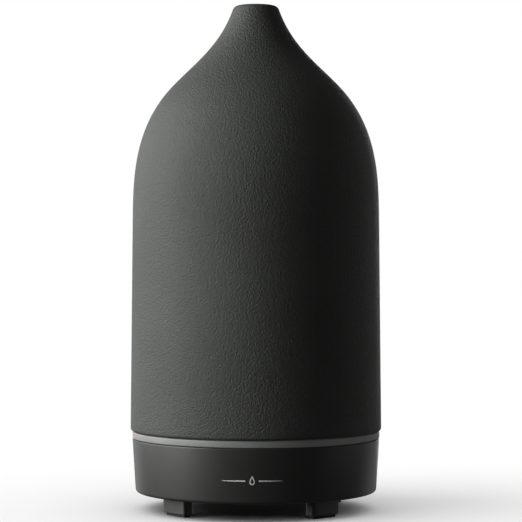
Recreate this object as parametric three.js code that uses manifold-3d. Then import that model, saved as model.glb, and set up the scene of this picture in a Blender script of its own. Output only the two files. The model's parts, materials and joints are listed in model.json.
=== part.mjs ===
// An ultrasonic essential oil diffuser: a bottle-shaped ceramic cover that lifts off, with a splash lid and a
// water tank under it, a light ring, and a round base for the fan, the mist maker and the electronics.
//
// Millimetres, +Z up. The origin is on the ground under the middle of the base, and the front faces -Y.
// An azimuth is in degrees from the front (-Y) towards +X, so the rear is at 180.

import * as THREE from 'three';
import { mergeVertices } from 'three/addons/utils/BufferGeometryUtils.js';
import Module from 'manifold-3d';

const wasm = await Module();
wasm.setup();

// ---------------------------------------------------------------- driving dimensions

const GAP = 0.2; // between pieces that touch
const REAR = 180; // azimuth of the power inlet
const THIRDS = [0, 120, 240]; // azimuths of things that come in threes

const COVER = { radius: 44.75, bottom: 28.15, top: 179.75, wall: 4.2, outlet: 4.5, edge: 1 };
const SHELL = { bottom: 6.5, top: 25.45, bottomRadius: 42.9, topRadius: 44.1, wall: 2.2, edge: 1.3 };
const RING = { radius: 44.1, bottom: 25.65, top: 27.95, inner: 38.9, rebate: 41.2, rebateDepth: 1.05 };
const TANK = { inner: 33, wall: 2.2, deckBottom: 25.4, floor: 27.6, deckTop: 27.9, rim: 64, capacity: 90000 };
const DUCT = { width: 13, depth: 9, wall: 1.4, y: 22, top: 60 };
const LID = { skirtBottom: 57.5, wall: 1.4, coneTop: 100, top: 163, chimneyFoot: 9, chimneyTop: 6.5 };
const FEET = { radius: 34.85, thickness: 4.5, halfSpan: 10.2, spread: 46.4, turn: -3.3, lift: 1 };
const PAD = { inset: 0.9, depth: 0.9 }; // how far a rubber pad is set into its foot
const COLUMN = { radius: 29.3, outer: 3.2, bottom: 10.3, top: 19.3 }; // where the long screws run
const PLATE = { radius: 40.3, bottom: 7, top: 8.8 }; // the bottom cover
const FAN = { size: 25, height: 7, y: -12.4, bottom: 9.05, bore: 11.6, hub: 5.6, blades: 7 };
const BOARD = { bottom: 10.6, top: 12.2, front: 3.5, halfWidth: 21.5, radius: 35.2 };
const CONTROL = { z: 16.4, spread: 26, button: 3.3, flange: 0.9, proud: 1 }; // rear buttons
const JACK = { back: 28.2, face: 40.2, nose: 4, noseEnd: 42.5, socket: 2.75, pin: 1 };
const PIEZO = { radius: 10, hole: 7.8, bottom: 23.4, top: 24.2, screwRadius: 15.5 };
const LEDS = { count: 6, radius: 38.8 };
const LED_BOARD = { inner: 34.8, outer: 40.2, bottom: 21.25, top: 22.4 };

const ON_BOARD = BOARD.top + GAP; // where the components stand
const LARGE = 40; // sides of the round pieces, by size
const MEDIUM = 32;
const SMALL = 12;

const FINISH = {
  ceramic: { color: 0x2e2f2e, roughness: 0.8, metalness: 0 },
  basePlastic: { color: 0x1c1c1c, roughness: 0.45, metalness: 0 },
  innerPlastic: { color: 0x202122, roughness: 0.5, metalness: 0 },
  frosted: { color: 0x8b8c8a, roughness: 0.35, metalness: 0 },
  rubber: { color: 0x111111, roughness: 0.85, metalness: 0 },
  silicone: { color: 0xd8d8d4, roughness: 0.6, metalness: 0 },
  steel: { color: 0xa8a9aa, roughness: 0.35, metalness: 1 },
  aluminium: { color: 0xb9bbbd, roughness: 0.4, metalness: 1 },
  brass: { color: 0xc2a35a, roughness: 0.3, metalness: 1 },
  circuitBoard: { color: 0x1f5a37, roughness: 0.5, metalness: 0 },
  component: { color: 0x17181a, roughness: 0.4, metalness: 0 },
  connector: { color: 0xe9e5d8, roughness: 0.5, metalness: 0 },
  led: { color: 0xf4efd2, roughness: 0.3, metalness: 0 },
  lead: { color: 0x8a1f1b, roughness: 0.5, metalness: 0 },
};

// ---------------------------------------------------------------- helpers

const object = new THREE.Group();
const radians = THREE.MathUtils.degToRad;
const at = (r, z) => new THREE.Vector2(r, z);

function add(name, geometry, finish) {
  const mesh = new THREE.Mesh(geometry, new THREE.MeshStandardMaterial(finish));
  mesh.name = name;
  object.add(mesh);
}

/** The point at an azimuth and a radius. */
function around(azimuth, radius) {
  return [radius * Math.sin(radians(azimuth)), -radius * Math.cos(radians(azimuth))];
}

/** Merges a geometry's shared vertices, so that only a closed surface is left. */
function closed(geometry) {
  geometry.deleteAttribute('normal');
  geometry.deleteAttribute('uv');
  const merged = mergeVertices(geometry, 1e-4);
  const index = Array.from(merged.index.array);
  const kept = [];
  for (let i = 0; i < index.length; i += 3) {
    const [a, b, c] = index.slice(i, i + 3);
    if (a !== b && b !== c && c !== a) kept.push(a, b, c);
  }
  merged.setIndex(kept);
  return merged;
}

function toSolid(geometry) {
  const { position } = geometry.attributes;
  return new wasm.Manifold(new wasm.Mesh({
    numProp: 3,
    vertProperties: new Float32Array(position.array),
    triVerts: new Uint32Array(geometry.index.array),
  }));
}

function toGeometry(solid) {
  const mesh = solid.getMesh();
  const geometry = new THREE.BufferGeometry();
  geometry.setAttribute('position', new THREE.BufferAttribute(new Float32Array(mesh.vertProperties), 3));
  geometry.setIndex(new THREE.BufferAttribute(new Uint32Array(mesh.triVerts), 1));
  return geometry;
}

/** Joins the first list of geometries, then cuts the second list out of them. */
function build(joined, cut = []) {
  let solid = joined.map(toSolid).reduce((whole, piece) => whole.add(piece));
  cut.forEach((piece) => {
    solid = solid.subtract(toSolid(piece));
  });
  return toGeometry(solid);
}

/** Turns a closed outline of (radius, height) points about the Z axis. It runs up its outer side. */
function turned(outline, sides) {
  const geometry = new THREE.LatheGeometry([...outline, outline[0]], sides);
  return closed(geometry.rotateX(Math.PI / 2));
}

/** A plain cylinder from one height to another. */
function rod(radius, bottom, top, sides = SMALL) {
  return turned([at(0, bottom), at(radius, bottom), at(radius, top), at(0, top)], sides);
}

/** A ring of rectangular section. */
function collar(inner, outer, bottom, top, sides) {
  return turned([at(inner, bottom), at(outer, bottom), at(outer, top), at(inner, top)], sides);
}

/** A block between two corners. */
function block(low, high) {
  const size = high.map((value, axis) => value - low[axis]);
  const middle = high.map((value, axis) => (value + low[axis]) / 2);
  return closed(new THREE.BoxGeometry(...size).translate(...middle));
}

/** A flat shape raised from one height to another. */
function raised(shape, bottom, top, curveSegments = 6) {
  const settings = { depth: top - bottom, bevelEnabled: false, curveSegments };
  return closed(new THREE.ExtrudeGeometry(shape, settings).translate(0, 0, bottom));
}

/** Moves a geometry to a place on the plan. */
function moved(geometry, [x, y]) {
  return geometry.translate(x, y, 0);
}

/** Three copies of a piece at a radius, a third of a turn apart. */
function inThirds(make, radius, turn = 0) {
  return THIRDS.map((azimuth) => moved(make(), around(azimuth + turn, radius)));
}

/** Lays a piece that was made along +Z, so that it points outwards at an azimuth and a height. */
function pointingOut(geometry, azimuth, height = CONTROL.z) {
  return geometry.rotateX(Math.PI / 2).rotateZ(radians(azimuth)).translate(0, 0, height);
}

/** A pan-head screw that points up: the head's under side is at headTop, and the shank ends at tip. */
function screw(headRadius, headBottom, headTop, shankRadius, tip) {
  return turned([
    at(0, headBottom), at(headRadius * 0.7, headBottom), at(headRadius, headBottom + 0.35),
    at(headRadius, headTop), at(shankRadius, headTop), at(shankRadius, tip - shankRadius), at(0, tip),
  ], SMALL);
}

/** The same screw upside down: its head is on top. */
function screwDown(headRadius, headTop, headBottom, shankRadius, tip) {
  const upright = screw(headRadius, -headTop, -headBottom, shankRadius, -tip);
  return upright.rotateX(Math.PI);
}

// ---------------------------------------------------------------- ceramic cover

/** The cover's outer outline, upwards: a slight taper, a round shoulder, a hollow neck and a round lip. */
function coverCurves() {
  const leaning = (degrees) => at(-Math.sin(radians(degrees)), Math.cos(radians(degrees)));
  const foot = at(COVER.radius, COVER.bottom + COVER.edge);
  const shoulder = at(COVER.radius - 0.74, 104.2);
  const bend = at(29.5, 151.1); // where the round shoulder turns into the hollow neck
  const lipLean = 19.85;
  const lipRadius = 2.2;
  const lip = at(8.31, COVER.top - lipRadius * (1 - Math.sin(radians(lipLean))));
  const lipCentre = at(lip.x - lipRadius * Math.cos(radians(lipLean)), COVER.top - lipRadius);
  const along = (point, degrees, length) => leaning(degrees).multiplyScalar(length).add(point);
  return [
    new THREE.LineCurve(foot, shoulder),
    new THREE.CubicBezierCurve(shoulder, along(shoulder, 0.55, 15.6), along(bend, 44, -19.7), bend),
    new THREE.CubicBezierCurve(bend, along(bend, 44, 11.3), along(lip, lipLean, -13.7), lip),
    new THREE.EllipseCurve(lipCentre.x, lipCentre.y, lipRadius, lipRadius, radians(lipLean), Math.PI / 2),
  ];
}

/** Points along the cover's outline, moved inwards by an inset. */
function coverOutline(inset, steps) {
  const points = [];
  coverCurves().forEach((curve, index) => {
    const count = steps[index];
    for (let i = index === 0 ? 0 : 1; i <= count; i += 1) {
      const point = curve.getPoint(i / count);
      const tangent = curve.getTangent(i / count);
      points.push(at(point.x - inset * tangent.y, point.y + inset * tangent.x));
    }
  });
  return points;
}

function ceramicCover() {
  const inside = coverOutline(COVER.wall, [1, 5, 4, 1]).filter((point) => point.x > COVER.outlet);
  inside[0].y = COVER.bottom;
  const bore = inside[inside.length - 1].y + 1;
  const chamfer = 0.6;
  const edgeMiddle = COVER.edge * (1 - Math.SQRT1_2);
  return turned([
    at(COVER.radius - COVER.edge, COVER.bottom),
    at(COVER.radius - edgeMiddle, COVER.bottom + edgeMiddle),
    ...coverOutline(0, [1, 7, 6, 2]),
    at(COVER.outlet + chamfer, COVER.top),
    at(COVER.outlet, COVER.top - chamfer),
    at(COVER.outlet, bore),
    ...inside.reverse(),
  ], LARGE);
}

// ---------------------------------------------------------------- splash lid

/** The lid's dome, from its outer edge up to the foot of the chimney. */
function lidDome(edge, neck) {
  const dome = new THREE.CubicBezierCurve(edge, at(edge.x, edge.y + 14), at(neck.x + 4, neck.y - 14), neck);
  return dome.getPoints(6);
}

function innerLid() {
  const skirtInner = TANK.inner + TANK.wall + 0.3;
  const skirtOuter = skirtInner + LID.wall;
  const seat = TANK.rim + GAP; // where the lid rests on the tank's rim
  return turned([
    at(skirtInner, LID.skirtBottom), at(skirtOuter, LID.skirtBottom),
    ...lidDome(at(skirtOuter, seat + LID.wall), at(LID.chimneyFoot, LID.coneTop)),
    at(LID.chimneyTop, LID.top), at(LID.chimneyTop - LID.wall, LID.top),
    ...lidDome(at(TANK.inner - 0.6, seat + LID.wall), at(LID.chimneyFoot - LID.wall, LID.coneTop)).reverse(),
    at(TANK.inner - 0.6, seat), at(skirtInner, seat),
  ], MEDIUM);
}

// ---------------------------------------------------------------- water tank

/** The height at which the tank holds its capacity. */
function fillHeight() {
  const area = Math.PI * TANK.inner ** 2 - DUCT.width * DUCT.depth;
  return TANK.floor + TANK.capacity / area;
}

function waterTank() {
  const wallOuter = TANK.inner + TANK.wall;
  const deck = RING.inner - 0.3;
  const flange = RING.rebate - 0.3;
  const flangeBottom = RING.top - RING.rebateDepth + GAP;
  const line = fillHeight();
  const ridge = 0.5; // the fill line stands this far out of the wall
  const bowl = turned([
    at(PIEZO.hole, TANK.deckBottom), at(deck, TANK.deckBottom), at(deck, flangeBottom),
    at(flange, flangeBottom), at(flange, TANK.deckTop), at(wallOuter, TANK.deckTop),
    at(wallOuter, TANK.rim), at(TANK.inner, TANK.rim),
    at(TANK.inner, line + ridge), at(TANK.inner - ridge, line), at(TANK.inner, line - ridge),
    at(TANK.inner, TANK.floor), at(PIEZO.hole + 1, TANK.floor),
  ], MEDIUM);
  const ductBlock = (inset, bottom, top) => {
    const x = DUCT.width / 2 - inset;
    const y = DUCT.depth / 2 - inset;
    return block([-x, DUCT.y - y, bottom], [x, DUCT.y + y, top]);
  };
  const posts = inThirds(() => rod(3, COLUMN.top + 0.3, TANK.floor - 1), COLUMN.radius);
  const postBores = inThirds(() => rod(1.5, COLUMN.top, TANK.deckBottom - 0.8), COLUMN.radius);
  const studs = inThirds(() => rod(2.4, TANK.deckBottom - 2.7, TANK.floor - 1), PIEZO.screwRadius, 60);
  const studBore = () => rod(1.1, TANK.deckBottom - 3.4, TANK.deckBottom - 0.2);
  const studBores = inThirds(studBore, PIEZO.screwRadius, 60);
  return build(
    [bowl, ductBlock(0, TANK.deckBottom, DUCT.top), ...posts, ...studs],
    [ductBlock(DUCT.wall, TANK.deckBottom - 1, DUCT.top + 1), ...postBores, ...studBores],
  );
}

// ---------------------------------------------------------------- mist maker

function addMistMaker() {
  const seal = { inner: 8.2, outer: 12, bottom: PIEZO.bottom - 0.7, top: TANK.deckBottom - GAP };
  const grooveOuter = PIEZO.radius + GAP;
  add('piezo_disc', rod(PIEZO.radius, PIEZO.bottom, PIEZO.top, 24), FINISH.brass);
  add('piezo_seal', turned([
    at(seal.inner, seal.bottom), at(seal.outer, seal.bottom),
    at(seal.outer, seal.top), at(seal.inner, seal.top),
    at(seal.inner, PIEZO.top + GAP), at(grooveOuter, PIEZO.top + GAP),
    at(grooveOuter, PIEZO.bottom - GAP), at(seal.inner, PIEZO.bottom - GAP),
  ], 24), FINISH.silicone);
  const clampTop = seal.bottom - 0.3;
  const clampBottom = clampTop - 1.8;
  const holes = inThirds(() => rod(1.2, clampBottom - 1, clampTop + 1), PIEZO.screwRadius, 60);
  add('piezo_clamp', build([collar(6.5, 18.4, clampBottom, clampTop, 24)], holes), FINISH.innerPlastic);
  const clampScrew = () => screw(2.1, clampBottom - 1.3, clampBottom - GAP, 0.9, TANK.deckBottom - 0.5);
  inThirds(clampScrew, PIEZO.screwRadius, 60).forEach((piece, index) => {
    add(`piezo_screw_${index + 1}`, piece, FINISH.steel);
  });
}

// ---------------------------------------------------------------- light ring and its lights

function lightRing() {
  const spigotOuter = SHELL.topRadius - SHELL.wall - 0.45;
  const spigotBottom = LED_BOARD.top + 1.5;
  const rebateFloor = RING.top - RING.rebateDepth;
  return turned([
    at(RING.inner, spigotBottom), at(spigotOuter, spigotBottom), at(spigotOuter, RING.bottom),
    at(RING.radius - 0.25, RING.bottom), at(RING.radius, RING.bottom + 0.25),
    at(RING.radius, RING.top - 0.25), at(RING.radius - 0.25, RING.top),
    at(RING.rebate, RING.top), at(RING.rebate, rebateFloor), at(RING.inner, rebateFloor),
  ], LARGE);
}

function addLights() {
  add('light_ring', lightRing(), FINISH.frosted);
  const board = collar(LED_BOARD.inner, LED_BOARD.outer, LED_BOARD.bottom, LED_BOARD.top, LARGE);
  add('led_board', board, FINISH.circuitBoard);
  const bottom = LED_BOARD.top + GAP;
  for (let i = 0; i < LEDS.count; i += 1) {
    const chip = block([LEDS.radius - 1.4, -1.75, bottom], [LEDS.radius + 1.2, 1.75, bottom + 0.9]);
    add(`led_${i + 1}`, chip.rotateZ(radians((360 / LEDS.count) * (i + 0.5))), FINISH.led);
  }
}

// ---------------------------------------------------------------- base shell

/** The shell's outer radius at a height. */
function shellRadius(z) {
  const share = (z - SHELL.bottom) / (SHELL.top - SHELL.bottom);
  return THREE.MathUtils.lerp(SHELL.bottomRadius, SHELL.topRadius, share);
}

function baseShell() {
  const wall = turned([
    at(shellRadius(SHELL.bottom) - SHELL.wall, SHELL.bottom),
    at(shellRadius(SHELL.bottom) - SHELL.edge, SHELL.bottom),
    at(shellRadius(SHELL.bottom) - SHELL.edge * 0.3, SHELL.bottom + SHELL.edge * 0.3),
    at(shellRadius(SHELL.bottom + SHELL.edge), SHELL.bottom + SHELL.edge),
    at(SHELL.topRadius, SHELL.top - 0.3), at(SHELL.topRadius - 0.3, SHELL.top),
    at(SHELL.topRadius - SHELL.wall, SHELL.top),
  ], LARGE);
  const columns = inThirds(() => rod(COLUMN.outer, COLUMN.bottom, COLUMN.top), COLUMN.radius);
  const web = (inner, top) => block([-1.25, 1 - SHELL.bottomRadius, COLUMN.bottom], [1.25, -inner, top]);
  const webs = THIRDS.flatMap((azimuth) => [
    web(COLUMN.radius + 2, COLUMN.top).rotateZ(radians(azimuth)),
    web(LED_BOARD.inner, LED_BOARD.bottom - GAP).rotateZ(radians(azimuth)),
  ]);
  const bores = inThirds(() => rod(1.7, COLUMN.bottom - 1, COLUMN.top + 1), COLUMN.radius);
  const window = (azimuth, radius) => {
    const cutter = rod(radius, SHELL.bottomRadius - 5, SHELL.topRadius + 1, 20);
    return pointingOut(cutter, azimuth);
  };
  const windows = [
    window(REAR, JACK.nose + 0.3),
    window(REAR - CONTROL.spread, CONTROL.button + 0.3),
    window(REAR + CONTROL.spread, CONTROL.button + 0.3),
  ];
  return build([wall, ...columns, ...webs], [...bores, ...windows]);
}

// ---------------------------------------------------------------- bottom cover and feet

const footAzimuths = {
  front_left: FEET.turn - FEET.spread,
  front_right: FEET.turn + FEET.spread,
  rear_right: FEET.turn + 180 - FEET.spread,
  rear_left: FEET.turn + 180 + FEET.spread,
};
const boardPosts = [[-19, 6], [19, 6]];
const fanScrews = [[-10, FAN.y - 10], [10, FAN.y + 10]];

/** An arc-shaped block under the base, centred on the front. */
function arcBlock(inset, bottom, top) {
  const outer = FEET.radius + FEET.thickness / 2 - inset;
  const inner = FEET.radius - FEET.thickness / 2 + inset;
  const half = radians(FEET.halfSpan) - inset / FEET.radius;
  const front = -Math.PI / 2;
  const shape = new THREE.Shape();
  shape.absarc(0, 0, outer, front - half, front + half, false);
  shape.absarc(0, 0, inner, front + half, front - half, true);
  return raised(shape, bottom, top, 5);
}

function bottomCover() {
  const plate = collar(0, PLATE.radius, PLATE.bottom, PLATE.top, LARGE);
  const bossTop = COLUMN.bottom - 0.3;
  const bosses = inThirds(() => rod(4, PLATE.bottom + 1, bossTop), COLUMN.radius);
  const posts = boardPosts.map((place) => moved(rod(2.6, PLATE.bottom + 1, BOARD.bottom - GAP), place));
  const counterbores = inThirds(() => rod(2.9, PLATE.bottom - 1, PLATE.bottom + 1.4), COLUMN.radius);
  const screwHoles = inThirds(() => rod(1.6, PLATE.bottom, bossTop + 1), COLUMN.radius);
  const postHoles = boardPosts.map((place) => moved(rod(1.2, PLATE.bottom + 0.8, BOARD.bottom + 1), place));
  const fanHoles = fanScrews.map((place) => moved(rod(1.2, PLATE.bottom + 0.6, PLATE.top + 1), place));
  const pegHoles = Object.values(footAzimuths).map((azimuth) => (
    moved(rod(2.1, PLATE.bottom - 1, PLATE.top + 1), around(azimuth, FEET.radius))
  ));
  const slots = [-3, -2, -1, 0, 1, 2, 3].map((step) => {
    const x = step * 3.1;
    const half = Math.sqrt(10.4 ** 2 - x ** 2);
    return block([x - 0.9, FAN.y - half, PLATE.bottom - 1], [x + 0.9, FAN.y + half, PLATE.top + 1]);
  });
  const holes = [...counterbores, ...screwHoles, ...postHoles, ...fanHoles, ...pegHoles, ...slots];
  return build([plate, ...bosses, ...posts], holes);
}

/** A foot: an arc block with a recess for its pad, and a peg with a staked head above the bottom cover. */
function foot(azimuth) {
  const recess = arcBlock(PAD.inset - GAP, FEET.lift - 1, FEET.lift + PAD.depth);
  const peg = turned([
    at(0, FEET.lift + 2), at(1.8, FEET.lift + 2), at(1.8, PLATE.top + GAP), at(3, PLATE.top + GAP),
    at(2.2, PLATE.top + 1.2), at(0, PLATE.top + 1.2),
  ], SMALL);
  const body = arcBlock(0, FEET.lift, PLATE.bottom - GAP);
  return build([body, moved(peg, around(0, FEET.radius))], [recess]).rotateZ(radians(azimuth));
}

function addFeet() {
  Object.entries(footAzimuths).forEach(([place, azimuth]) => {
    const pad = arcBlock(PAD.inset, 0, FEET.lift + PAD.depth - GAP);
    add(`foot_${place}`, foot(azimuth), FINISH.basePlastic);
    add(`foot_pad_${place}`, pad.rotateZ(radians(azimuth)), FINISH.rubber);
  });
}

function addBaseScrews() {
  const longScrew = () => screw(2.5, PLATE.bottom + GAP, PLATE.bottom + 1.2, 1.3, TANK.deckBottom - 1.2);
  inThirds(longScrew, COLUMN.radius).forEach((piece, index) => {
    add(`base_screw_${index + 1}`, piece, FINISH.steel);
  });
}

// ---------------------------------------------------------------- fan

function fanFrame() {
  const half = FAN.size / 2;
  const corner = 2.5;
  const outline = new THREE.Shape();
  [[1, 1, 0], [-1, 1, 90], [-1, -1, 180], [1, -1, 270]].forEach(([x, y, start]) => {
    const middle = half - corner;
    outline.absarc(x * middle, y * middle, corner, radians(start), radians(start + 90), false);
  });
  const top = FAN.bottom + FAN.height;
  const frame = raised(outline, FAN.bottom, top, 3);
  const floor = FAN.bottom + 1.2;
  const strut = () => block([-0.9, -(FAN.bore + 0.4), FAN.bottom], [0.9, -2, floor]);
  const struts = THIRDS.map((azimuth) => strut().rotateZ(radians(azimuth)));
  const motor = rod(5.2, FAN.bottom, floor, 18);
  const bearing = rod(1.9, FAN.bottom, FAN.bottom + 5, SMALL);
  const shaftBore = rod(0.95, FAN.bottom + 0.6, top, SMALL);
  const screwHoles = fanScrews.map(([x, y]) => moved(rod(1.3, FAN.bottom - 1, top + 1), [x, y - FAN.y]));
  const open = build([frame], [rod(FAN.bore, FAN.bottom - 1, top + 1, 24), ...screwHoles]);
  return build([open, ...struts, motor, bearing], [shaftBore]).translate(0, FAN.y, 0);
}

function fanRotor() {
  const top = FAN.bottom + FAN.height - 0.4;
  const bottom = FAN.bottom + 1.6;
  const hub = turned([
    at(0, FAN.bottom + 1), at(0.75, FAN.bottom + 1), at(0.75, top - 1.2), at(FAN.hub - 1, top - 1.2),
    at(FAN.hub - 1, bottom), at(FAN.hub, bottom), at(FAN.hub, top), at(0, top),
  ], 21);
  const blades = [];
  for (let i = 0; i < FAN.blades; i += 1) {
    const blade = block([FAN.hub - 0.4, -2.9, -0.4], [FAN.bore - 0.6, 2.9, 0.4]);
    blade.rotateX(radians(38)).translate(0, 0, (top + bottom) / 2);
    blades.push(blade.rotateZ((2 * Math.PI * i) / FAN.blades));
  }
  return build([hub, ...blades]).translate(0, FAN.y, 0);
}

function addFan() {
  add('fan_frame', fanFrame(), FINISH.component);
  add('fan_rotor', fanRotor(), FINISH.innerPlastic);
  const headBottom = FAN.bottom + FAN.height + GAP;
  fanScrews.forEach((place, index) => {
    const piece = screwDown(2, headBottom + 1.1, headBottom, 1, PLATE.bottom + 0.8);
    add(`fan_screw_${index + 1}`, moved(piece, place), FINISH.steel);
  });
}

// ---------------------------------------------------------------- control board and its components

function controlBoard() {
  const side = Math.sqrt(BOARD.radius ** 2 - BOARD.halfWidth ** 2);
  const start = Math.atan2(side, BOARD.halfWidth);
  const shape = new THREE.Shape([at(-BOARD.halfWidth, BOARD.front), at(BOARD.halfWidth, BOARD.front)]);
  shape.absarc(0, 0, BOARD.radius, start, Math.PI - start, false);
  const holes = boardPosts.map((place) => moved(rod(1.3, BOARD.bottom - 1, BOARD.top + 1), place));
  return build([raised(shape, BOARD.bottom, BOARD.top, 8)], holes);
}

/** A two-pin plug-in connector, open on top of its front side. */
function connector([x, y]) {
  const body = block([x - 3, y - 2.2, ON_BOARD], [x + 3, y + 2.2, ON_BOARD + 5]);
  return build([body], [block([x - 1.8, y - 3, ON_BOARD + 3.4], [x + 1.8, y - 1, ON_BOARD + 6])]);
}

/** An upright can capacitor with a rolled top edge. */
function capacitor(place) {
  return moved(turned([
    at(0, ON_BOARD), at(3.1, ON_BOARD), at(3.1, ON_BOARD + 5.6),
    at(2.6, ON_BOARD + 6.2), at(0, ON_BOARD + 6.2),
  ], 18), place);
}

/** A drum-core coil: two flanges with the winding between them. */
function inductor(place) {
  return moved(turned([
    at(0, ON_BOARD), at(4.5, ON_BOARD), at(4.5, ON_BOARD + 1), at(3.6, ON_BOARD + 1.2),
    at(3.6, ON_BOARD + 4.4), at(4.5, ON_BOARD + 4.6), at(4.5, ON_BOARD + 5.6), at(0, ON_BOARD + 5.6),
  ], 20), place);
}

function heatSink() {
  const back = block([-1, 19.5, ON_BOARD], [9, 20.7, ON_BOARD + 6.6]);
  const fins = [0, 1, 2, 3].map((step) => {
    const x = -1 + step * 3;
    return block([x, 20, ON_BOARD], [x + 1, 25, ON_BOARD + 6.6]);
  });
  return build([back, ...fins]);
}

function transistor() {
  const body = block([1, 17.2, ON_BOARD + 1.6], [7, 19, ON_BOARD + 5.4]);
  const tab = block([1, 18.4, ON_BOARD + 5], [7, 19.3, ON_BOARD + 6.6]);
  const legs = [1.8, 3.7, 5.6].map((x) => block([x, 17.8, ON_BOARD], [x + 0.7, 18.4, ON_BOARD + 2]));
  return build([body, tab, ...legs]);
}

function addElectronics() {
  add('control_board', controlBoard(), FINISH.circuitBoard);
  add('controller_chip', block([-5.5, 7.5, ON_BOARD], [1.5, 12.5, ON_BOARD + 1.6]), FINISH.component);
  add('heat_sink', heatSink(), FINISH.aluminium);
  add('transistor', transistor(), FINISH.component);
  add('inductor', inductor([16.5, 19]), FINISH.component);
  add('capacitor_1', capacitor([-15.5, 22.5]), FINISH.component);
  add('capacitor_2', capacitor([-8, 21.5]), FINISH.component);
  add('fan_connector', connector([-11.5, 8]), FINISH.connector);
  add('led_connector', connector([-16.5, 14]), FINISH.connector);
  add('piezo_connector', connector([11.5, 8]), FINISH.connector);
  boardPosts.forEach((place, index) => {
    const piece = screwDown(2.2, BOARD.top + 1.3, BOARD.top + GAP, 1, PLATE.bottom + 1.2);
    add(`board_screw_${index + 1}`, moved(piece, place), FINISH.steel);
  });
}

// ---------------------------------------------------------------- rear controls and power inlet

/** A round push button: a domed cap, a flange behind the wall and a stem that reaches for its switch. */
function pushButton() {
  const wallOuter = shellRadius(CONTROL.z);
  const face = wallOuter + CONTROL.proud;
  const flange = wallOuter - SHELL.wall - 0.65;
  const flangeRadius = CONTROL.button + CONTROL.flange;
  return turned([
    at(0, flange - 2.6), at(1.5, flange - 2.6), at(1.5, flange - 1), at(flangeRadius, flange - 1),
    at(flangeRadius, flange), at(CONTROL.button, flange), at(CONTROL.button, face - 0.6),
    at(CONTROL.button - 0.5, face - 0.15), at(0, face),
  ], 20);
}

/** A side-press switch: the plunger slides in its round mouth. */
function addSwitch(name, azimuth) {
  const stemEnd = shellRadius(CONTROL.z) - SHELL.wall - 3.25;
  const plungerTip = stemEnd - 0.3;
  const face = plungerTip - 1.2;
  const height = CONTROL.z - ON_BOARD;
  const body = block([-3, -height, face - 3.6], [3, height - 1.4, face]);
  const mouth = rod(1.8, face - 2.6, face + 1);
  add(`${name}_switch`, pointingOut(build([body], [mouth]), azimuth), FINISH.component);
  add(`${name}_plunger`, pointingOut(rod(1.5, plungerTip - 2.6, plungerTip), azimuth), FINISH.connector);
  add(`${name}_button`, pointingOut(pushButton(), azimuth), FINISH.basePlastic);
}

function dcJack() {
  const body = block([-4.5, ON_BOARD - CONTROL.z, JACK.back], [4.5, 4.2, JACK.face]);
  const nose = rod(JACK.nose, JACK.face - 1, JACK.noseEnd, 20);
  const socket = rod(JACK.socket, JACK.back + 3.5, JACK.noseEnd + 1, 20);
  const pin = rod(JACK.pin, JACK.back + 2.5, JACK.noseEnd - 1.2, 12);
  return pointingOut(build([build([body, nose], [socket]), pin]), REAR);
}

function addRearControls() {
  addSwitch('mist', REAR - CONTROL.spread);
  addSwitch('light', REAR + CONTROL.spread);
  add('dc_jack', dcJack(), FINISH.component);
}

// ---------------------------------------------------------------- internal leads

/** A lead as a tube through a list of points, whose heights are given above the control board. */
function lead(points) {
  const radius = 0.8;
  const sides = 8;
  const section = new THREE.Shape();
  for (let i = 0; i < sides; i += 1) {
    const angle = (2 * Math.PI * i) / sides;
    const point = [radius * Math.cos(angle), radius * Math.sin(angle)];
    if (i === 0) section.moveTo(...point);
    else section.lineTo(...point);
  }
  const path = points.map(([x, y, rise]) => new THREE.Vector3(x, y, ON_BOARD + rise));
  const extrudePath = new THREE.CatmullRomCurve3(path);
  return closed(new THREE.ExtrudeGeometry(section, { steps: 3 * points.length, extrudePath }));
}

function addLeads() {
  add('fan_lead', lead([
    [-11.5, 5.4, 2], [-11.6, 2.6, 2], [-14.4, 0, 1.4], [-16, -4, 0.6], [-13.6, -6.6, 0.2],
  ]), FINISH.lead);
  add('piezo_lead', lead([
    [11.5, 5.4, 2], [11.2, 2.6, 2.5], [7.5, 1.4, 5], [3, 0.4, 7.2], [1.6, 0.2, 10.6],
  ]), FINISH.lead);
  add('led_lead', lead([
    [-16.5, 11.4, 2], [-17, 8.9, 2.6], [-22, 6, 3.8], [-30, 4.4, 5], [-35.6, 4, 6], [-37, 4, 8.4],
  ]), FINISH.lead);
}

// ---------------------------------------------------------------- the whole object

add('ceramic_cover', ceramicCover(), FINISH.ceramic);
add('inner_lid', innerLid(), FINISH.innerPlastic);
add('water_tank', waterTank(), FINISH.innerPlastic);
addMistMaker();
addLights();
add('base_shell', baseShell(), FINISH.basePlastic);
add('bottom_cover', bottomCover(), FINISH.basePlastic);
addFeet();
addBaseScrews();
addFan();
addElectronics();
addRearControls();
addLeads();

export default object;
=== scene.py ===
"""The looks of an ultrasonic essential oil diffuser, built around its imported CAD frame.

Pieces are drawn in millimetres in the frame's own axes, +Z up, the front at -Y and the ground at z = 0, and
new_piece scales them to metres. An azimuth is in degrees from the front towards +X, so the rear is at 180.
"""
import json
import math

import bmesh
import bpy
from mathutils import Matrix, Vector


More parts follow.
